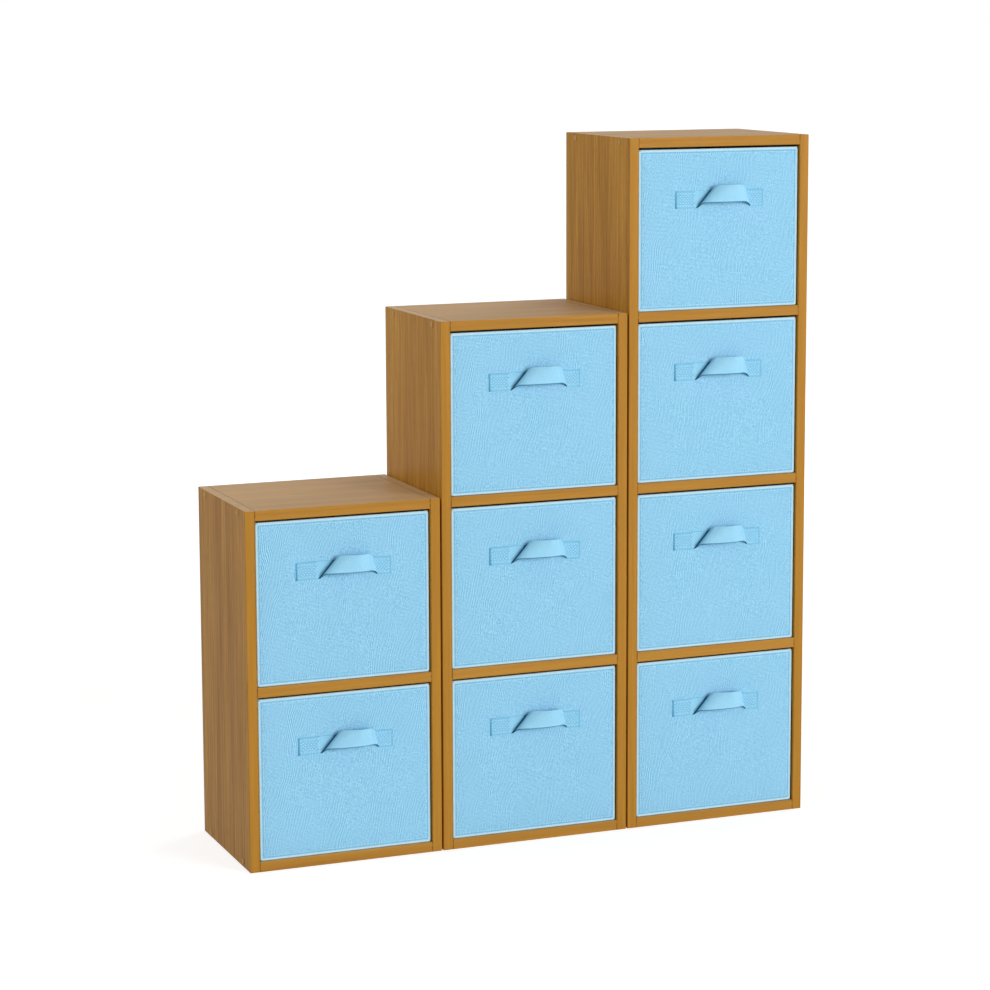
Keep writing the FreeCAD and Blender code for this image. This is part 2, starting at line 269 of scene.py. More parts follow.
class Surface:
    """Collects grids of points, in metres, and makes one object of them."""

    def __init__(self):
        self.points = []
        self.faces = []
        self.pale = []
        self.dark = []

    def grid(self, rows, close_rows=False, close_columns=False, pale=0.0, dark=0.0):
        """Adds a grid of shape (rows, columns, 3) and returns the indices of its points. `pale` and `dark`
        say how much painted highlight and painted shade the cloth has at each point."""
        rows = np.asarray(rows, float)
        count, width = rows.shape[:2]
        first = len(self.points)
        self.points.extend(map(tuple, rows.reshape(-1, 3)))
        self.pale.extend(np.broadcast_to(pale, (count, width)).reshape(-1))
        self.dark.extend(np.broadcast_to(dark, (count, width)).reshape(-1))
        index = first + np.arange(count * width).reshape(count, width)
        for i in range(count if close_rows else count - 1):
            here, there = index[i], index[(i + 1) % count]
            for j in range(width if close_columns else width - 1):
                k = (j + 1) % width
                self.faces.append((here[j], here[k], there[k], there[j]))
        return index

    def cap_ends(self, index):
        """Closes the first and the last ring of a grid."""
        self.faces.append(tuple(index[0][::-1]))
        self.faces.append(tuple(index[-1]))

    def make(self, name, material):
        """An object with smooth faces, and sharp edges where they turn steeply."""
        mesh = bpy.data.meshes.new(name)
        mesh.from_pydata(self.points, [], [tuple(int(i) for i in f) for f in self.faces])
        for tone in ("pale", "dark"):
            mesh.attributes.new(tone, "FLOAT", "POINT").data.foreach_set("value", getattr(self, tone))
        mesh.validate()
        self.clean(mesh)
        mesh.polygons.foreach_set("use_smooth", [True] * len(mesh.polygons))
        mesh.set_sharp_from_angle(angle=math.radians(SHARP_FROM))
        mesh.materials.append(material)
        piece = bpy.data.objects.new(name, mesh)
        bpy.context.scene.collection.objects.link(piece)
        return piece

    @staticmethod
    def clean(mesh):
        """Joins points in one place, which drops faces without area, and turns all faces outward."""
        shell = bmesh.new()
        shell.from_mesh(mesh)
        bmesh.ops.remove_doubles(shell, verts=shell.verts, dist=SAME_PLACE)
        bmesh.ops.recalc_face_normals(shell, faces=shell.faces)
        shell.to_mesh(mesh)
        shell.free()


def unit(v):
    """Vectors of the same direction, one long."""
    return v / np.maximum(np.linalg.norm(v, axis=-1, keepdims=True), 1e-12)


def b_spline(controls, count):
    """Points along a clamped cubic B-spline with evenly spaced parameters."""
    controls = np.asarray(controls, float)
    spans = len(controls) - 3
    knots = np.concatenate([np.zeros(3), np.arange(spans + 1), np.full(3, spans)])
    t = np.linspace(0, spans - 1e-9, count)
    basis = [((knots[i] <= t) & (t < knots[i + 1])).astype(float) for i in range(len(knots) - 1)]
    for degree in range(1, 4):
        for i in range(len(knots) - 1 - degree):
            left = knots[i + degree] - knots[i]
            right = knots[i + degree + 1] - knots[i + 1]
            rising = (t - knots[i]) / left * basis[i] if left else 0.0
            falling = (knots[i + degree + 1] - t) / right * basis[i + 1] if right else 0.0
            basis[i] = rising + falling
    return sum(b[:, None] * c for b, c in zip(basis, controls))


def tube(surface, path, radius, closed=False, up=(0.0, 0.0, 1.0)):
    """A round tube along a path that nowhere runs along `up`."""
    if closed:
        along = unit(np.roll(path, -1, 0) - np.roll(path, 1, 0))
    else:
        along = unit(np.gradient(path, axis=0))
    across = unit(np.cross(along, up))
    over = np.cross(across, along)
    angles = np.arange(TUBE_SIDES) * 2 * math.pi / TUBE_SIDES
    ring = across[:, None] * np.cos(angles)[None, :, None] + over[:, None] * np.sin(angles)[None, :, None]
    index = surface.grid(path[:, None] + ring * radius, close_rows=closed, close_columns=True)
    if not closed:
        surface.cap_ends(index)


def resampled(path, step):
    """The path cut into equal stretches of about `step`, with its ends kept."""
    along = np.concatenate([[0.0], np.cumsum(np.linalg.norm(np.diff(path, axis=0), axis=1))])
    count = max(2, round(along[-1] / step) + 1)
    where = np.linspace(0, along[-1], count)
    return np.stack([np.interp(where, along, path[:, k]) for k in range(3)], axis=1)


def stitches(surface, path, normals, seed):
    """A row of thread stitches that dip into the fabric at both ends. `normals` has one direction for each
    point of the path, or one for all."""
    rng = random.Random(seed)
    normals = np.broadcast_to(normals, path.shape)
    angles = np.arange(STITCH_SIDES) * 2 * math.pi / STITCH_SIDES
    marks = resampled(path, (STITCH_LENGTH + STITCH_GAP) * MM)
    for start, end in zip(marks, marks[1:]):
        nearest = np.argmin(np.linalg.norm(path - (start + end) / 2, axis=1))
        normal = unit(normals[nearest])
        forward = unit(end - start)
        side = np.cross(forward, normal)
        half = STITCH_LENGTH * MM / 2 * rng.uniform(0.93, 1.05)
        middle = (start + end) / 2 + side * rng.uniform(-STITCH_WANDER, STITCH_WANDER) * MM
        rings = []
        for share, size in STITCH_OUTLINE:
            lift = (0.22 - 0.55 * share * share) * THREAD_RADIUS * MM
            centre = middle + forward * half * share + normal * lift
            reach = THREAD_RADIUS * MM * size
            sideways = side * (np.cos(angles) * reach)[:, None]
            rings.append(centre + sideways + normal * (np.sin(angles) * reach)[:, None])
        surface.cap_ends(surface.grid(rings, close_columns=True))


# ---- Materials ----


class Shader:
    """One procedural material. Most calls add a node and return its output."""

    def __init__(self, name):
        self.material = bpy.data.materials.new(name)
        self.material.use_nodes = True
        self.tree = self.material.node_tree
        self.surface = self.tree.nodes["Principled BSDF"]
        self.place = self.add("ShaderNodeTexCoord").outputs["Object"]

    def add(self, kind, **settings):
        node = self.tree.nodes.new(kind)
        for key, value in settings.items():
            setattr(node, key, value)
        return node

    def put(self, socket, value):
        if isinstance(value, bpy.types.NodeSocket):
            self.tree.links.new(value, socket)
        elif socket.type == "RGBA":
            socket.default_value = (*value[:3], 1.0)
        else:
            socket.default_value = value

    def tone(self, name):
        """A tone that Surface.grid gave to the mesh."""
        node = self.add("ShaderNodeAttribute", attribute_name=name, attribute_type="GEOMETRY")
        return node.outputs["Fac"]

    def toned(self, colour):
        """Cloth colour with painted highlight at the mesh's pale places and painted shade at its dark
        places.
        """
        colour = self.mix(self.tone("pale"), colour, PAINTED_HIGHLIGHT_BLUE)
        dark = self.tone("dark")
        colour = self.mix(self.span(dark, 0.0, 0.35), colour, PAINTED_SHADE_BLUE)
        return self.mix(self.span(dark, 0.35, 1.0), colour, PAINTED_CREASE_SHADE_BLUE)

    def stretch(self, scale):
        """Places for a noise with its own scale along each axis."""
        node = self.add("ShaderNodeMapping")
        self.put(node.inputs["Vector"], self.place)
        self.put(node.inputs["Scale"], scale)
        return node.outputs["Vector"]

    def noise(self, vector, scale=1.0, detail=2.0, roughness=0.5, distortion=0.0):
        node = self.add("ShaderNodeTexNoise")
        self.put(node.inputs["Vector"], vector)
        self.put(node.inputs["Scale"], scale)
        self.put(node.inputs["Detail"], detail)
        self.put(node.inputs["Roughness"], roughness)
        self.put(node.inputs["Distortion"], distortion)
        return node.outputs["Fac"]

    def math(self, operation, a, b=0.0):
        node = self.add("ShaderNodeMath", operation=operation)
        self.put(node.inputs[0], a)
        self.put(node.inputs[1], b)
        return node.outputs[0]

    def weighted(self, first, *others):
        """Adds up values, each given with its weight."""
        total = self.math("MULTIPLY", *first)
        for value, weight in others:
            total = self.math("ADD", total, self.math("MULTIPLY", value, weight))
        return total

    def span(self, value, low, high, to_low=0.0, to_high=1.0):
        """Maps low to high onto to_low to to_high, clamped."""
        node = self.add("ShaderNodeMapRange")
        for socket, number in zip(node.inputs, (value, low, high, to_low, to_high)):
            self.put(socket, number)
        return node.outputs[0]

    def mix(self, share, a, b):
        node = self.add("ShaderNodeMix", data_type="RGBA")
        self.put(node.inputs["Factor"], share)
        self.put(node.inputs["A"], a)
        self.put(node.inputs["B"], b)
        return node.outputs["Result"]

    def axis(self, which, vector=None):
        """One axis of a vector, or of the place."""
        node = self.add("ShaderNodeSeparateXYZ")
        self.put(node.inputs[0], vector or self.place)
        return node.outputs[which]

    def bump(self, height, distance, strength=1.0, after=None):
        node = self.add("ShaderNodeBump")
        self.put(node.inputs["Height"], height)
        self.put(node.inputs["Distance"], distance)
        self.put(node.inputs["Strength"], strength)
        if after is not None:
            self.put(node.inputs["Normal"], after)
        return node.outputs["Normal"]

    def finish(self, **inputs):
        """Connects or sets the inputs of the material's surface."""
        for key, value in inputs.items():
            self.put(self.surface.inputs[key.replace("_", " ")], value)
        return self.material


def grain_scale(along, across, lengthwise):
    """Scales that draw a noise out along one axis."""
    scale = [across] * 3
    scale[along] = lengthwise
    return scale


def laminate(name, along, gloss, roughness):
    """Printed beech-effect laminate with its grain along one axis, and golden edge banding in front."""
    s = Shader(name)
    sway = s.noise(s.stretch(grain_scale(along, 6.0, 1.3)), detail=1.0)
    streaks = s.noise(s.stretch(grain_scale(along, 48.0, 0.9)), detail=4.0, distortion=0.5)
    figure = s.noise(s.stretch(grain_scale(along, 120.0, 2.6)), detail=2.0, distortion=0.3)
    fine = s.noise(s.stretch(grain_scale(along, 240.0, 7.0)), detail=3.0, roughness=0.65)
    flecks = s.noise(s.stretch(grain_scale(along, 700.0, 45.0)), detail=1.0)

    tone = s.span(s.weighted((streaks, 0.30), (fine, 0.45), (figure, 0.25), (sway, 0.20)), 0.46, 0.76)
    colour = s.mix(tone, WOOD_PALE, WOOD_DEEP)
    colour = s.mix(s.span(flecks, 0.58, 0.74, 0.0, 0.45), colour, WOOD_FLECK)

    # The banding on the front edges: a cleaner, more golden print.
    normal = s.add("ShaderNodeNewGeometry").outputs["Normal"]
    banding = s.span(s.axis("Y", normal), -0.9, -0.6, 1.0, 0.0)
    golden = s.mix(s.span(tone, 0.0, 1.0, 0.0, 0.6), BANDING_PALE, BANDING_DEEP)
    colour = s.mix(banding, colour, golden)

    # Painted sheen: the tops are paler and greyer, standing in for the studio's reflection on them.
    top_sheen = s.span(s.axis("Z", normal), 0.7, 0.95, 0.0, 0.50)
    colour = s.mix(top_sheen, colour, PAINTED_TOP_SHEEN)

    # Dark ragged joints between the sides and the boards between them, but not on faces turned sideways.
    x = s.math("PINGPONG", s.math("ADD", s.axis("X"), TOWER_PITCH / 2), TOWER_PITCH / 2)
    joint = s.math("ABSOLUTE", s.math("SUBTRACT", x, TOWER_PITCH / 2 - JOINT_FROM_MIDDLE))
    ragged = s.noise(s.place, scale=160.0, detail=2.0)
    depth = s.span(ragged, 0.38, 0.60, 0.15, 0.9)
    depth = s.math("MULTIPLY", depth, s.span(joint, *JOINT_WIDTH, 1.0, 0.0))
    sideways = s.math("ABSOLUTE", s.axis("X", normal))
    depth = s.math("MULTIPLY", depth, s.span(sideways, 0.2, 0.6, 1.0, 0.0))
    colour = s.mix(depth, colour, JOINT_DARK)

    # The rear edges are dark.
    rear = s.math("ADD", s.axis("Y"), s.span(ragged, 0.3, 0.7, -DARK_REAR_RAGGED, DARK_REAR_RAGGED))
    darkened = s.span(rear, TOWER_REAR - DARK_REAR[0], TOWER_REAR - DARK_REAR[1], 0.0, 0.7)
    colour = s.mix(darkened, colour, REAR_EDGE_DARK)

    rough = s.span(fine, 0.3, 0.7, roughness - 0.05, roughness + 0.05)
    relief = s.bump(s.weighted((fine, 0.6), (flecks, 0.4)), 0.06 * MM, 0.6)
    return s.finish(Base_Color=colour, Roughness=rough, Specular_IOR_Level=gloss, Normal=relief)


def hardboard():
    """Pressed brown fibres, with lighter and darker flecks."""
    s = Shader("brown_hardboard")
    mottle = s.noise(s.place, scale=90.0, detail=5.0, roughness=0.65)
    fibres = s.noise(s.stretch((650.0, 650.0, 650.0)), detail=4.0, roughness=0.75)
    colour = s.mix(s.span(mottle, 0.30, 0.70), HARDBOARD_DARK, HARDBOARD_LIGHT)
    colour = s.mix(s.span(fibres, 0.52, 0.68, 0.0, 0.6), colour, LIGHT_FIBRE)
    colour = s.mix(s.span(fibres, 0.34, 0.46, 0.5, 0.0), colour, DARK_FIBRE)
    rough = s.span(fibres, 0.3, 0.7, 0.62, 0.8)
    return s.finish(Base_Color=colour, Roughness=rough, Normal=s.bump(fibres, 0.12 * MM, 0.7))


def dowel_wood():
    s = Shader("raw_beech_dowel")
    grain = s.noise(s.stretch((40.0, 900.0, 900.0)), detail=3.0)
    colour = s.mix(s.span(grain, 0.35, 0.7), DOWEL_LIGHT, DOWEL_DARK)
    rough = s.span(grain, 0.3, 0.7, 0.6, 0.75)
    return s.finish(Base_Color=colour, Roughness=rough, Normal=s.bump(grain, 0.1 * MM))


def zinc():
    s = Shader("zinc_plated_steel")
    turned = s.noise(s.stretch((2500.0, 300.0, 300.0)), detail=2.0)
    colour = s.mix(turned, ZINC_DARK, ZINC_LIGHT)
    rough = s.span(turned, 0.3, 0.7, 0.28, 0.42)
    return s.finish(Base_Color=colour, Metallic=1.0, Roughness=rough)


def cap_plastic():
    s = Shader("cap_plastic")
    mottle = s.noise(s.place, scale=900.0, detail=2.0)
    colour = s.mix(mottle, CAP_DARK, CAP_LIGHT)
    rough = s.span(mottle, 0.3, 0.7, 0.5, 0.6)
    relief = s.bump(mottle, 0.03 * MM)
    return s.finish(Base_Color=colour, Roughness=rough, Specular_IOR_Level=0.25, Normal=relief)


def cloth(name, light, dark, pitch):
    """Light cloth embossed with a fine diamond grid that wanders, so that parts of it look ribbed."""
    s = Shader(name)
    around, up = s.math("ADD", s.axis("X"), s.axis("Y")), s.axis("Z")
    sway = s.noise(s.stretch((16.0, 16.0, 9.0)), detail=2.0)
    shiver = s.noise(s.stretch((90.0, 90.0, 45.0)), detail=1.0)
    drift = s.weighted((sway, 18.0 * MM), (shiver, 2.4 * MM))

    def wave(across, upward):
        run = s.math("ADD", s.weighted((around, across), (up, upward)), drift)
        return s.math("SINE", s.math("MULTIPLY", run, 2 * math.pi / pitch))

    ribs = wave(1.0, 0.12)
    diamonds = s.math("MULTIPLY", wave(0.62, 0.58), wave(0.62, -0.58))
    region = s.span(s.noise(s.place, scale=24.0, detail=1.0), 0.44, 0.56)
    pattern = s.mix(region, diamonds, ribs)
    fibres = s.noise(s.stretch((720.0, 720.0, 480.0)), detail=3.0, roughness=0.7)
    patches = s.noise(s.place, scale=11.0, detail=3.0)

    tone = s.weighted((pattern, 0.36), (fibres, 1.7))
    colour = s.mix(s.span(tone, 0.60, 1.08), dark, light)
    colour = s.mix(s.span(patches, 0.40, 0.68, 0.0, 0.22), colour, CLOTH_PATCH)
    rough = s.span(fibres, 0.3, 0.7, 0.78, 0.92)
    relief = s.bump(fibres, 0.3 * MM, 0.6, s.bump(pattern, 0.15 * MM, 0.7))
    return s.finish(Base_Color=s.toned(colour), Roughness=rough, Normal=relief, **CLOTH_SHINE)


def tape(name, light, dark):
    """Woven tape and strap cloth: a fine diagonal twill."""
    s = Shader(name)
    diagonal = s.weighted((s.axis("X"), 1.0), (s.axis("Y"), 1.0), (s.axis("Z"), 0.8))
    twill = s.math("SINE", s.math("MULTIPLY", diagonal, 2 * math.pi / TWILL_PITCH))
    fibres = s.noise(s.place, scale=900.0, detail=3.0, roughness=0.7)
    patches = s.noise(s.place, scale=60.0, detail=2.0)
    tone = s.weighted((twill, 0.12), (fibres, 1.0))
    colour = s.mix(s.span(tone, 0.3, 0.75), dark, light)
    colour = s.mix(s.span(patches, 0.4, 0.7, 0.0, 0.2), colour, light)
    rough = s.span(fibres, 0.3, 0.7, 0.75, 0.9)
    relief = s.bump(fibres, 0.2 * MM, 0.5, s.bump(twill, 0.12 * MM, 0.6))
    return s.finish(Base_Color=s.toned(colour), Roughness=rough, Normal=relief, **CLOTH_SHINE)


def thread():
    s = Shader("sewing_thread")
    twist = s.noise(s.stretch((1800.0, 1800.0, 1800.0)), detail=2.0)
    colour = s.mix(twist, THREAD_DARK, THREAD_LIGHT)
    return s.finish(Base_Color=colour, Roughness=0.6, Sheen_Weight=0.1, Normal=s.bump(twist, 0.1 * MM))


def stiffening_board():
    s = Shader("pressed_board")
    fibres = s.noise(s.stretch((700.0, 700.0, 700.0)), detail=3.0)
    mottle = s.noise(s.place, scale=60.0, detail=3.0)
    colour = s.mix(s.span(mottle, 0.35, 0.65), PRESSED_DARK, PRESSED_LIGHT)
    rough = s.span(fibres, 0.3, 0.7, 0.75, 0.9)
    return s.finish(Base_Color=colour, Roughness=rough, Normal=s.bump(fibres, 0.1 * MM))


# ---- Fabric box ----


class Cover:
    """The cloth skin of one box: where its surfaces run. Lengths inside are in millimetres."""

    def __init__(self, box, seed):
        low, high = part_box(f"{box}_cover")
        self.low = np.array(low) / MM
        self.high = np.array(high) / MM
        self.seed = seed

    def plan(self, inset):
        """Rows round the box at an inset: x, y, outward direction in x and y, distance to the nearest
        corner, and the side: 0 is the front, then right, rear and left."""
        radius = max(COVER_CORNER - inset, LEAST_CORNER)
        low, high = self.low[:2] + inset, self.high[:2] - inset
        corners = [(high[0], low[1]), (high[0], high[1]), (low[0], high[1]), (low[0], low[1])]
        rows = []
        start = np.array([low[0], low[1]])
        for side, corner in enumerate(corners):
            corner = np.array(corner)
            forward = unit(corner - start)
            outward = np.array([forward[1], -forward[0]])
            length = np.linalg.norm(corner - start)
            full = length + 2 * inset
            for mark in self.marks(full):
                spot = start + forward * np.clip(mark - inset, radius, length - radius)
                rows.append((*spot, *outward, min(mark, full - mark), side))
            centre = corner - forward * radius - outward * radius
            for step in range(1, CORNER_STEPS):
                angle = math.pi / 2 * step / CORNER_STEPS
                direction = outward * math.cos(angle) + forward * math.sin(angle)
                rows.append((*(centre + direction * radius), *direction, 0.0, side))
            start = corner
        return np.array(rows)

    @staticmethod
    def marks(full):
        """Distances along a panel where mesh lines lie: close together beside its edges."""
        inner = np.array((COVER_CORNER,) + NEAR_EDGE)
        count = round((full - 2 * inner[-1]) / PANEL_STEP)
        middle = np.linspace(inner[-1], full - inner[-1], count + 1)[1:-1]
        return np.concatenate([inner, middle, (full - inner)[::-1]])

    def displaced(self, plan, z, depth):
        """The plan's points at height z, moved out by the cloth's bulge, slack and grooves, times depth."""
        above, below = self.high[2] - z, z - self.low[2]
        from_edge = np.minimum(plan[:, 4], min(above, below))
        rise = np.clip(from_edge / BULGE_REACH, 0, 1)
        bulge = np.where(plan[:, 5] == 0, FRONT_BULGE, SIDE_BULGE) * rise * (2 - rise)
        groove = -HEM_GROOVE * np.exp(-(((from_edge - HEM) / HEM_GROOVE_WIDTH) ** 2))
        groove -= SEAM_DEPTH * np.exp(-(((from_edge - SEAM) / SEAM_WIDTH) ** 2))
        calm = np.clip(from_edge / CALM_EDGE, CALM_LEAST, 1)
        own = Vector((self.seed * SLACK_PER_SEED, 0, 0))
        places = [Vector((x * MM, y * MM, z * MM)) * SLACK_SCALE + own for x, y in plan[:, :2]]
        waves = np.array([noise.noise(spot) for spot in places])
        move = depth * (bulge + groove + SLACK * waves * calm)
        spots = plan[:, :2] + plan[:, 2:4] * move[:, None]
        return np.column_stack([spots, np.full(len(spots), z)]) * MM

    def heights(self):
        """Where mesh lines lie round the outside."""
        full = self.high[2] - self.low[2]
        return self.low[2] + np.concatenate([BESIDE_BASE, self.marks(full), full - np.array(BESIDE_RIM)])

    def skin(self):
        """One closed shell: base, outside, rim, lining and the lining's floor."""
        surface = Surface()
        base, rim = self.low[2], self.high[2]
        outside, lining = self.plan(0.0), self.plan(COVER_WALL)
        rings = [self.displaced(self.plan(inset), base + lift, 0.0) for inset, lift in UNDERSIDE_RINGS]
        rings += [self.displaced(outside, z, 1.0) for z in self.heights()]
        rings += [self.displaced(self.plan(inset), rim - drop, RIM_FOLLOWS) for inset, drop in RIM_RINGS]
        rings += [self.displaced(lining, rim - drop, LINING_FOLLOWS) for drop in LINING_DROPS]
        rings += [self.displaced(self.plan(inset), base + lift, 0.0) for inset, lift in LINING_FLOOR_RINGS]
        rings = np.array(rings)
        index = surface.grid(rings, close_columns=True, **self.tones(rings))
        surface.cap_ends(index)
        return surface

    def tones(self, rings):
        """Painted highlight makes the cloth pale over the bound edges of a panel, and painted shade makes it
        dark in the furrow beside them.
        """
        spots = rings / MM
        edges = np.concatenate([spots - self.low, self.high - spots], axis=2)
        edges = np.sort(np.maximum(edges, 0.0), axis=2)[:, :, 1]  # the nearest is the face it lies on
        pale = SEAM_PALE * np.clip((SEAM_PALE_TO - edges) / SEAM_PALE_FADE, 0, 1)
        dark = SEAM_DARK * np.exp(-(((edges - SEAM_DARK_MIDDLE) / SEAM_DARK_WIDTH) ** 2))
        return {"pale": pale, "dark": dark}

    def binding(self):
        """Narrow bound seams up the four corners, round the base and round the rim."""
        surface = Surface()
        low, high = self.low, self.high
        rng = random.Random(self.seed)
        for x in (low[0] + BINDING_INSET, high[0] - BINDING_INSET):
            for y in (low[1] + BINDING_INSET, high[1] - BINDING_INSET):
                z = np.linspace(low[2] + BINDING_ENDS[0], high[2] - BINDING_ENDS[1], BINDING_STEPS)
                jitter = np.array([rng.uniform(-BINDING_WOBBLE, BINDING_WOBBLE) for _ in z])
                path = np.column_stack([x + jitter, y + jitter, z]) * MM
                tube(surface, path, BINDING_RADIUS * MM, up=(0.0, 1.0, 0.0))
        ring = self.plan(RING_INSET)[:, :2]
        base_ring = (low[2] + BINDING_RADIUS, BINDING_RADIUS)
        rim_ring = (high[2] - RIM_BINDING_DROP, RIM_BINDING_RADIUS)
        for z, radius in (base_ring, rim_ring):
            lift = np.array([rng.uniform(0.0, RING_WOBBLE) for _ in ring])
            path = np.column_stack([ring, z + lift]) * MM
            tube(surface, path, radius * MM, closed=True)
        return surface

    def front_spot(self, along, above):
        """A point of the front panel's surface, from its left edge and the base."""
        to_corner = min(along, self.high[0] - self.low[0] - along)
        row = np.array([[self.low[0] + along, self.low[1], 0.0, -1.0, to_corner, 0]])
        return self.displaced(row, self.low[2] + above, 1.0)[0]

    def topstitching(self):
        """Thread round the hem on all four sides and round the other edges of the front panel."""
        surface = Surface()
        plan = self.plan(0.0)
        hem = self.displaced(plan, self.high[2] - HEM, 1.0)
        outward = np.column_stack([plan[:, 2:4], np.zeros(len(plan))])
        for side in range(4):
            kept = (plan[:, 5] == side) & (plan[:, 4] >= HEM)
            stitches(surface, hem[kept], outward[kept], self.seed * 10 + side)
        width, _, height = self.high - self.low
        corners = [(HEM, height - HEM), (HEM, HEM), (width - HEM, HEM), (width - HEM, height - HEM)]
        for number, (start, end) in enumerate(zip(corners, corners[1:])):
            path = np.array([self.front_spot(*spot) for spot in np.linspace(start, end, LINE_POINTS)])
            stitches(surface, path, FRONTWARD, self.seed * 10 + 5 + number)
        return surface


def base_insert(box):
    """The cloth-wrapped board that lies in the bottom of a box."""
    low, high = (np.array(c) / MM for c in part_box(f"{box}_base_board"))
    middle = (high[:2] + low[:2]) / 2
    rings = []
    for inset, lift in INSERT_RINGS:
        corner = np.maximum((high[:2] - low[:2]) / 2 - inset - INSERT_CORNER, 0.0)
        ring = []
        for quarter, towards in enumerate([(1, 1), (-1, 1), (-1, -1), (1, -1)]):
            for step in range(INSERT_CORNER_STEPS + 1):
                angle = math.pi / 2 * (quarter + step / INSERT_CORNER_STEPS)
                outward = np.array([math.cos(angle), math.sin(angle)])
                ring.append((*(middle + towards * corner + INSERT_CORNER * outward), low[2] + lift))
        rings.append(np.array(ring) * MM)
    surface = Surface()
    surface.cap_ends(surface.grid(rings, close_columns=True))
    return surface


# ---- Strap handle ----


def between(low, high, share):
    """The value at a share of the way from low to high."""
    return low + (high - low) * share


def loop_controls(share):
    """The strap in plan at one height, from 0 at its lower edge to 1 at its upper edge. Each control point
    is (x, reach in front of the box, rise). The crease on the left leans, and so does what rises from it."""
    flat = STRAP_THICKNESS / 2 + CLEAR_OF_BOX
    left = between(*LEFT_CREASE, share)
    right = between(*RIGHT_FOOT, share)
    reach = between(*LOOP_REACH, share)
    fold = left + CREASE_LEAN * 8.0
    middle = (fold + right) / 2
    left_end = [(x, flat, 0.0) for x in (-STRAP_HALF, -62.0, -52.0, left - 9.0, left - 3.0)]
    riser = [
        (left + 0.2, flat + 0.1, 0.1),
        (left + 0.5 + CREASE_LEAN * 1.6, 2.9, 1.6),
        (left + 0.2 + CREASE_LEAN * 4.2, 6.0, 4.2),
        (left - 0.3 + CREASE_LEAN * 6.4, 8.8, 6.4),
        (fold + 0.2, 11.6, 8.0),
        (fold + 4.5, 14.6, LOOP_RISE + 0.2),
    ]
    loop = [
        (fold + 14.0, 0.84 * reach + 1.2, LOOP_RISE + 0.6),
        (middle, reach + 1.2, LOOP_RISE + 1.0),
        (right - 21.0, reach, LOOP_RISE + 1.0),
    ]
    slope = [
        (right - 11.0, between(0.70, 0.86, share) * reach, LOOP_RISE + 0.6),
        (right - 5.0, between(8.0, 11.5, share), LOOP_RISE - 1.5),
        (right - 1.0, between(3.8, 5.0, share), 4.6),
        (right + 2.0, 2.0, 1.6),
        (right + 5.0, flat + 0.3, 0.3),
    ]
    right_end = [(x, flat, 0.0) for x in (right + 9.0, 63.0, 68.0, STRAP_HALF)]
    return left_end + riser + loop + slope + right_end


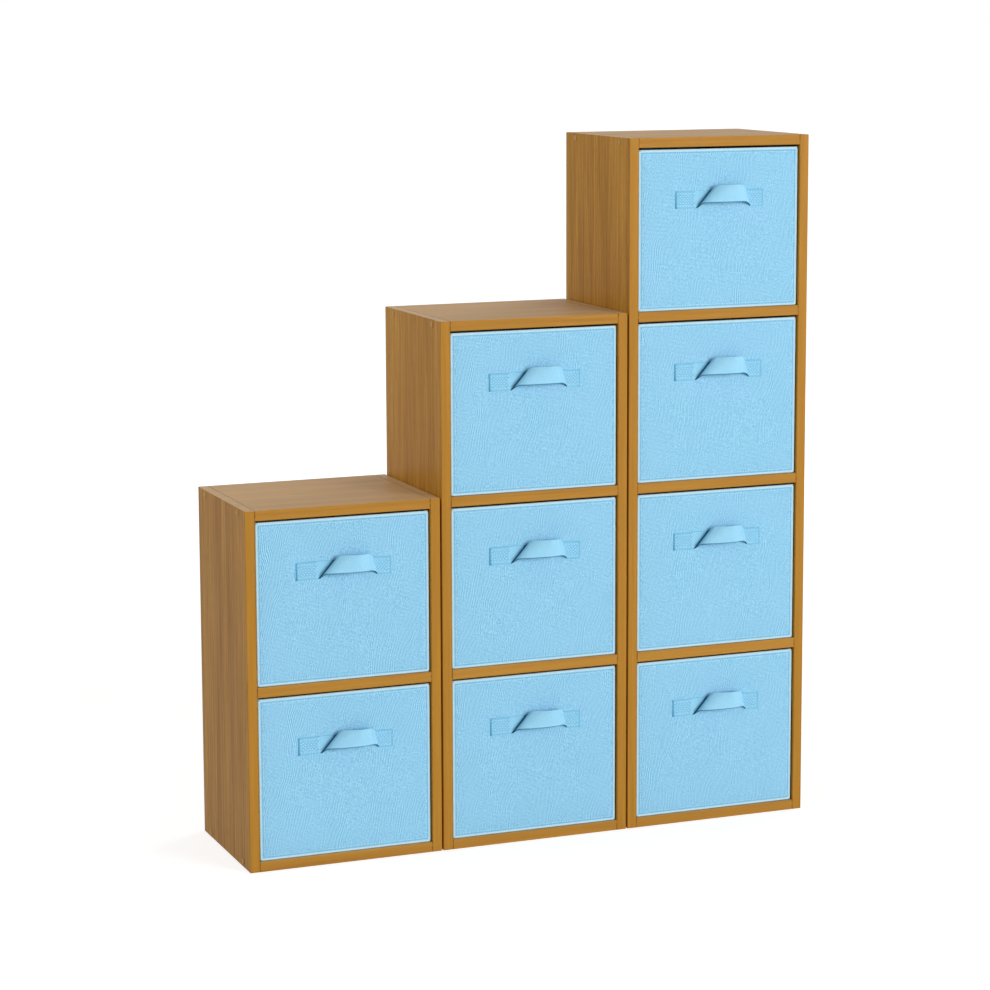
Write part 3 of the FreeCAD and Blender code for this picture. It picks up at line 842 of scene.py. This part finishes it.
class Handle:
    """Strap of one box. It knows the middle surface of its cloth, in metres."""

    def __init__(self, box, seed):
        low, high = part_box(f"{box}_handle")
        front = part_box(f"{box}_cover")[0].y
        self.origin = np.array([(low.x + high.x) / 2, front, low.z])
        self.seed = seed

    def line(self, share):
        """Points along the strap at one height share."""
        x, reach, rise = b_spline(loop_controls(share), STRAP_POINTS).T
        z = rise + STRAP_WIDTH * share
        return self.origin + np.column_stack([x, -reach, z]) * MM

    def line_and_normals(self, share):
        """The line at a height share and the outward normals along it."""
        line = self.line(share)
        across = unit(self.line(min(share + 0.02, 1.0)) - self.line(max(share - 0.02, 0.0)))
        along = unit(np.gradient(line, axis=0))
        return line, unit(np.cross(along, across))

    def strap(self):
        """A closed strip with rounded long edges and slightly thicker hems."""
        section = list(STRAP_EDGE)
        section += [(share, STRAP_BODY) for share in BETWEEN_HEMS]
        section += [(1 - share, thickness) for share, thickness in reversed(STRAP_EDGE)]
        outer, inner = [], []
        for share, thickness in section:
            line, normals = self.line_and_normals(share)
            move = normals * STRAP_THICKNESS / 2 * MM * thickness
            outer.append(line + move)
            inner.append(line - move)
        rows = np.swapaxes(np.array([self.line(0.0)] + outer + [self.line(1.0)] + inner[::-1]), 0, 1)
        shares = [share for share, _ in section]
        heights = np.array([0.0] + shares + [1.0] + shares[::-1])
        surface = Surface()
        index = surface.grid(rows, close_columns=True, dark=self.painted_strap_shade(rows, heights, len(shares)))
        surface.cap_ends(index)
        return surface

    def painted_strap_shade(self, rows, heights, outer_count):
        """Painted shade at each point: on the riser at the crease, the edges and ends, and the side toward
        the box.
        """
        place = (rows - self.origin) / MM
        x, reach = place[:, :, 0], -place[:, :, 1]
        rise = place[:, :, 2] - STRAP_WIDTH * heights
        crease = between(*LEFT_CREASE, heights)[None]
        flat = reach < FLAT_WITHIN
        riser = np.clip((RISER_REACH[1] - reach) / RISER_FADE, 0, 1) * (reach > RISER_REACH[0])
        riser = riser * (abs(x - crease - CREASE_LEAN * rise) < RISER_WITHIN)
        foot = FOOT_DARK * np.clip((x + SEWN[0]) / (crease + SEWN[0]), 0, 1) * (x < crease) * flat
        sewn = SEWN_DARK * (abs(x) > SEWN[0]) * flat
        left_end = between(*LEFT_END[1:], heights)[None] * (x < LEFT_END[0] - STRAP_HALF)
        right_end = RIGHT_END[1] * (x > STRAP_HALF - RIGHT_END[0])
        lower = (heights < 0.02)[None] * np.where(flat, *LOWER_EDGE_DARK)
        beside_lower = (heights < 0.05)[None] * np.where(flat, *BESIDE_LOWER_EDGE_DARK)
        upper = (heights > 0.98)[None] * np.where(flat, *UPPER_EDGE_DARK)
        notch = 1.0 * (abs(x - RIGHT_FOOT[0]) < NOTCH_WITHIN) * (heights < 0.07)[None]
        tone = np.maximum.reduce([riser, foot, sewn, left_end, right_end, lower, beside_lower, upper, notch])
        inside = np.arange(len(heights)) > outer_count
        tone[:, inside] = np.maximum(tone[:, inside], INSIDE_DARK)
        return tone

    def spot(self, x, share):
        """A point on the flat end of the strap, given by its x in millimetres."""
        line, normals = self.line_and_normals(share)
        nearest = np.argmin(abs(line[:, 0] - (self.origin[0] + x * MM)))
        outer = line[nearest] + normals[nearest] * STRAP_THICKNESS / 2 * STRAP_BODY * MM
        outer[0] = self.origin[0] + x * MM
        return outer

    def sewing(self):
        """At each end a sewn rectangle filled with crossing diagonal rows."""
        surface = Surface()
        row = self.seed * 100
        for sign in (-1, 1):
            for first, last in self.sewn_lines():
                path = [self.spot(sign * x, share) for x, share in np.linspace(first, last, SEWN_POINTS)]
                stitches(surface, np.array(path), FRONTWARD, row)
                row += 1
        return surface

    @staticmethod
    def sewn_lines():
        """The rectangle and its diagonals, as pairs of points. A point is its distance from the strap's
        middle and its share of the width."""
        (start, end), (low, high) = SEWN, SEWN_ACROSS
        tall = (high - low) * STRAP_WIDTH
        lines = [((start, low), (start, high)), ((end, low), (end, high))]
        lines += [((start, low), (end, low)), ((start, high), (end, high))]
        for number in DIAGONALS:
            foot = start + number * LATTICE
            begin, stop = max(foot, start), min(foot + tall, end)
            climb = [(x - foot) / STRAP_WIDTH for x in (begin, stop)]
            lines.append(((begin, low + climb[0]), (stop, low + climb[1])))
            lines.append(((begin, high - climb[0]), (stop, high - climb[1])))
        return lines

    def length(self):
        """Of the strap laid flat."""
        return float(np.linalg.norm(np.diff(self.line(0.5), axis=0), axis=1).sum())


# ---- Scene ----


def camera():
    data = bpy.data.cameras.new("camera")
    data.lens = CAMERA_LENS
    data.shift_y = CAMERA_SHIFT
    data.clip_end = CAMERA_REACH
    made = bpy.data.objects.new("camera", data)
    made.location = CAMERA_PLACE
    made.rotation_euler = [math.radians(a) for a in (90.0 - CAMERA_PITCH, CAMERA_ROLL, CAMERA_YAW)]
    bpy.context.scene.collection.objects.link(made)
    bpy.context.scene.camera = made


def disc_light(name, place, aim, size, power):
    data = bpy.data.lights.new(name, "AREA")
    data.shape = "DISK"
    data.size = size
    data.energy = power
    made = bpy.data.objects.new(name, data)
    made.location = place
    made.rotation_mode = "QUATERNION"
    made.rotation_quaternion = (Vector(aim) - Vector(place)).to_track_quat("-Z", "Y")
    bpy.context.scene.collection.objects.link(made)


def surroundings():
    """A white studio: it looks bright and lights the object softly."""
    world = bpy.data.worlds.new("studio")
    bpy.context.scene.world = world
    world.use_nodes = True
    tree = world.node_tree
    background = tree.nodes["Background"]
    background.inputs["Color"].default_value = (*WHITE, 1.0)
    rays = tree.nodes.new("ShaderNodeLightPath")
    strength = tree.nodes.new("ShaderNodeMapRange")
    tree.links.new(rays.outputs["Is Diffuse Ray"], strength.inputs["Value"])
    strength.inputs["To Min"].default_value = SKY_SEEN
    strength.inputs["To Max"].default_value = SKY_LIGHTING
    tree.links.new(strength.outputs[0], background.inputs["Strength"])


def floor():
    """Pale and nearly shadowless, but it throws little light up at the object."""
    s = Shader("studio_floor")
    shade = s.noise(s.place, scale=0.8, detail=1.0)
    colour = s.mix(shade, FLOOR_DARK, FLOOR_LIGHT)
    away = s.add("ShaderNodeVectorMath", operation="LENGTH")
    s.put(away.inputs[0], s.place)
    glow = s.span(away.outputs["Value"], *FLOOR_GLOW_FROM, *FLOOR_GLOW)
    diffuse_ray = s.add("ShaderNodeLightPath").outputs["Is Diffuse Ray"]
    glow = s.math("MULTIPLY", glow, s.span(diffuse_ray, 0.0, 1.0, 1.0, FLOOR_GLOW_LIGHTING))
    s.finish(Base_Color=colour, Roughness=0.9, Emission_Color=WHITE, Emission_Strength=glow)
    surface = Surface()
    ends = (-FLOOR_REACH, FLOOR_REACH)
    surface.grid([[(x, y, 0.0) for x in ends] for y in ends])
    surface.make("floor", s.material)


def dress_cad_nodes():
    """Gives each node that is shown as it is in CAD its material."""
    upright = laminate("beech_laminate_upright", along=2, gloss=0.05, roughness=0.42)
    lengthways = laminate("beech_laminate_lengthways", along=0, gloss=0.12, roughness=0.58)
    by_slot = {
        "hardboard": hardboard(),
        "zinc_steel": zinc(),
        "cap_plastic": cap_plastic(),
        "dowel_wood": dowel_wood(),
        "stiffening_board": stiffening_board(),
    }
    for part in frame["record"]["subparts"]:
        node, slot = part["node"], part["material_slot"]
        if slot == "beech_laminate":
            chosen = upright if node.endswith("_side") else lengthways
        else:
            chosen = by_slot.get(slot)
        if chosen:
            for material_slot in frame["nodes"][node].material_slots:
                material_slot.material = chosen


def place(surface, name, material, box, slot, *replaced):
    """Makes a piece that rides with its box and stands for the replaced CAD nodes."""
    piece = surface.make(name, material)
    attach(piece, box)
    if replaced:
        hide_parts(*replaced)
    return piece


def fabric_box(box, seed, cloths):
    """Makes all pieces of one box."""
    cover, handle = Cover(box, seed), Handle(box, seed)
    skin = place(cover.skin(), f"{box}_cloth", cloths["cover"], box, "box_fabric", f"{box}_cover")
    place(cover.binding(), f"{box}_bound_seams", cloths["binding"], box, "box_fabric")
    hem = place(cover.topstitching(), f"{box}_topstitching", cloths["thread"], box, "box_fabric")
    place(base_insert(box), f"{box}_base_insert", cloths["lining"], box, "box_fabric", f"{box}_base_board")
    strap = place(handle.strap(), f"{box}_strap", cloths["strap"], box, "strap_webbing", f"{box}_handle")
    sewing = place(handle.sewing(), f"{box}_strap_sewing", cloths["thread"], box, "strap_webbing")

    round(handle.length(), 4)


def fabric_boxes():
    cloths = {
        "cover": cloth("box_cloth", CLOTH_LIGHT, CLOTH_DARK, CLOTH_PITCH),
        "binding": tape("seam_binding", BINDING_LIGHT, BINDING_DARK),
        "lining": cloth("lining_cloth", LINING_LIGHT, LINING_DARK, LINING_PITCH),
        "strap": tape("strap_cloth", STRAP_LIGHT, STRAP_DARK),
        "thread": thread(),
    }
    boxes = [body for body in frame["bodies"] if "_box_" in body]
    for seed, box in enumerate(boxes, start=1):
        fabric_box(box, seed, cloths)


def main():
    bpy.context.scene.view_settings.view_transform = "Standard"
    camera()
    surroundings()
    floor()
    for light in LIGHTS:
        disc_light(*light)
    dress_cad_nodes()
    fabric_boxes()


main()
